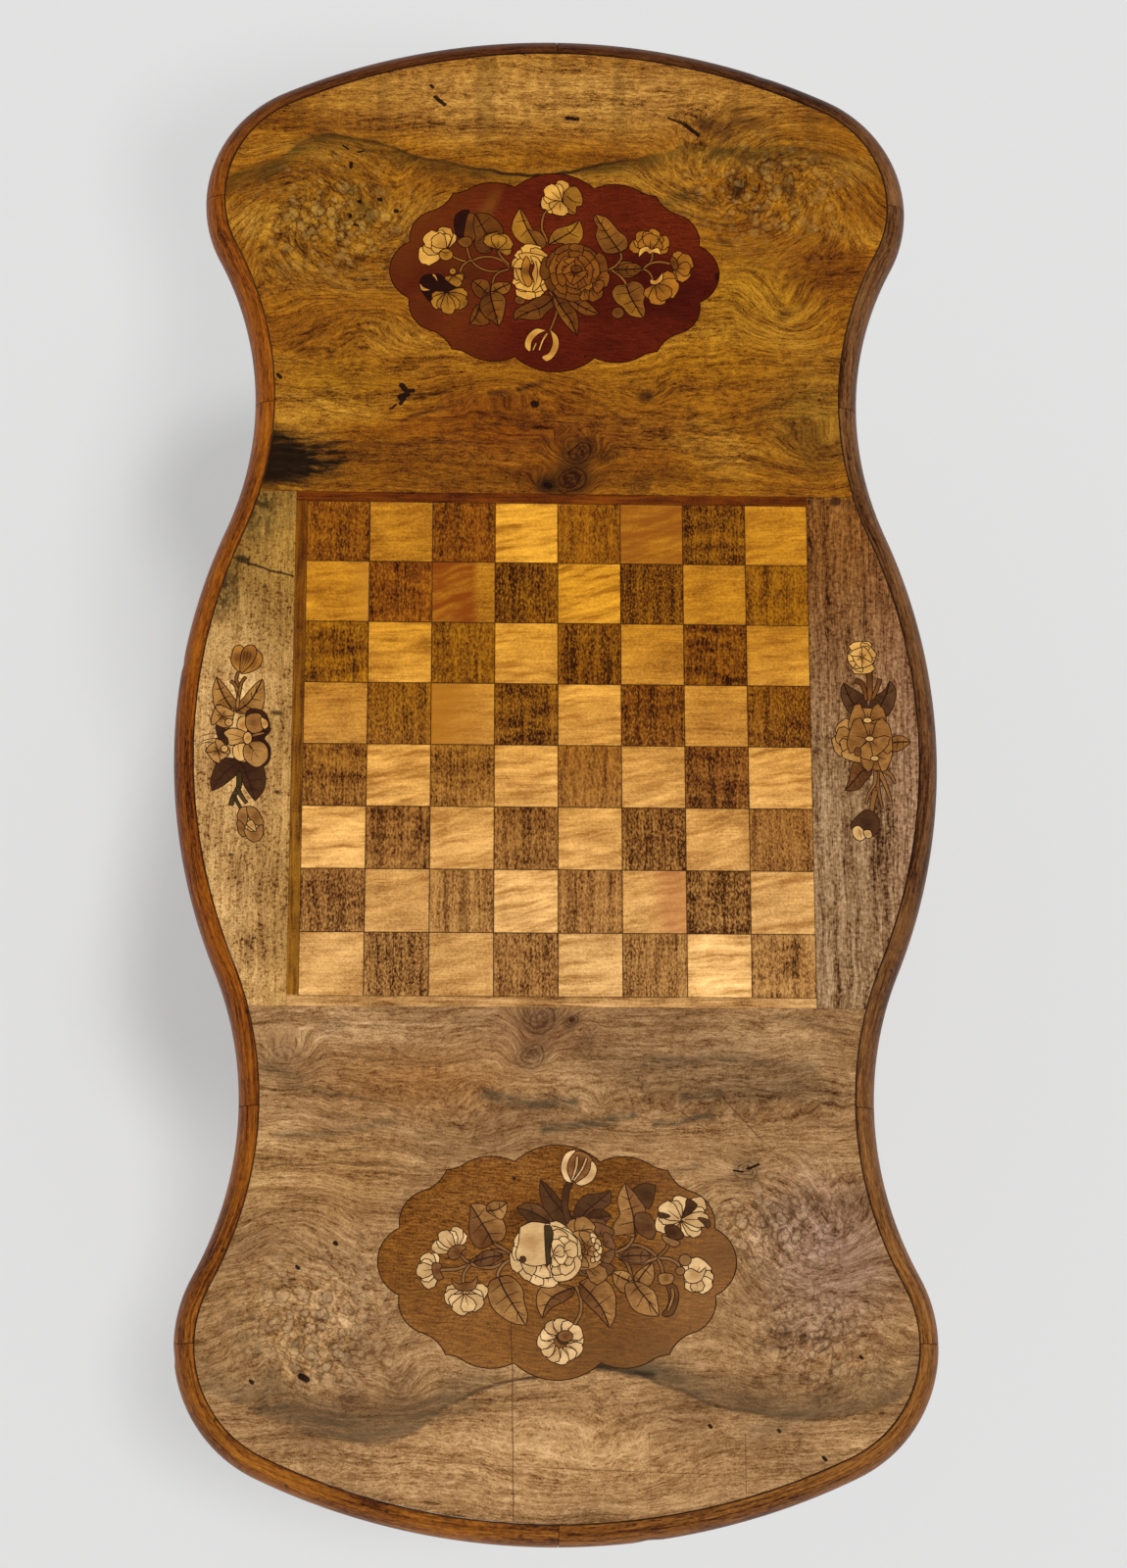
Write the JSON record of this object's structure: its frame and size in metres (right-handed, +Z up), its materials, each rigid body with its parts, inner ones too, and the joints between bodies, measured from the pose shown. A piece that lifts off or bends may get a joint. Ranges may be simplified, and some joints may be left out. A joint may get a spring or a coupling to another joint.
{
  "type": "tilt-top chess table",
  "caption": "Waisted serpentine table top with an inlaid chessboard and floral panels, tipping on a turned pedestal with scrolled legs.",
  "frame": {"origin": "on the floor, under the middle of the top and of the column", "axes": "+Z up, +Y along the top towards its north end, +X across the top towards the catch"},
  "size_m": [0.537, 1.087, 0.724],
  "materials": {
    "rim_walnut": "french polish, worn along the nose",
    "burr_walnut_north": "wax over burr veneer",
    "burr_walnut_south": "wax over burr veneer",
    "side_walnut": "waxed veneer",
    "strip_walnut": "waxed veneer",
    "satinwood": "rippled satinwood, waxed",
    "square_walnut": "straight grained walnut, waxed",
    "cartouche_red": "waxed veneer",
    "cartouche_brown": "waxed veneer",
    "groundwork_pine": "bare, aged",
    "beech": "stained and aged",
    "base_walnut": "french polish",
    "brass": "dull brass",
    "iron": "forged, blackened"
  },
  "bodies": {
    "pedestal": {"column": "base_walnut", "column_wedge": "beech", "keeper_plate": "brass", "leg_ne": "base_walnut", "leg_nw": "base_walnut", "leg_se": "base_walnut", "leg_sw": "base_walnut", "pivot_block": "beech", "pivot_pins": "beech", "spider_plate": "iron"},
    "top": {"bearer_north": "beech", "bearer_south": "beech", "cartouche_north": "cartouche_red", "cartouche_south": "cartouche_brown", "groundwork_east": "groundwork_pine", "groundwork_west": "groundwork_pine", "rim_east": "rim_walnut", "rim_north": "rim_walnut", "rim_south": "rim_walnut", "rim_west": "rim_walnut", "squares_dark": "square_walnut", "squares_light": "satinwood", "strip_north": "strip_walnut", "strip_south": "strip_walnut", "strip_west": "strip_walnut", "veneer_east": "side_walnut", "veneer_north": "burr_walnut_north", "veneer_south": "burr_walnut_south", "veneer_west": "side_walnut", "catch_case": "brass"},
    "catch": {"catch_bolt": "brass", "catch_knob": "brass"}
  },
  "joints": [
    {"name": "top_tilt", "type": "hinge", "parent": "pedestal", "child": "top", "pos_m": [-0.0774, 0, 0.6847], "axis": [0, -1, 0], "range_deg": [0, 90]},
    {"name": "catch_slide", "type": "slide", "parent": "top", "child": "catch", "axis": [-1, 0, 0], "range_m": [0, 0.01]}
  ]
}
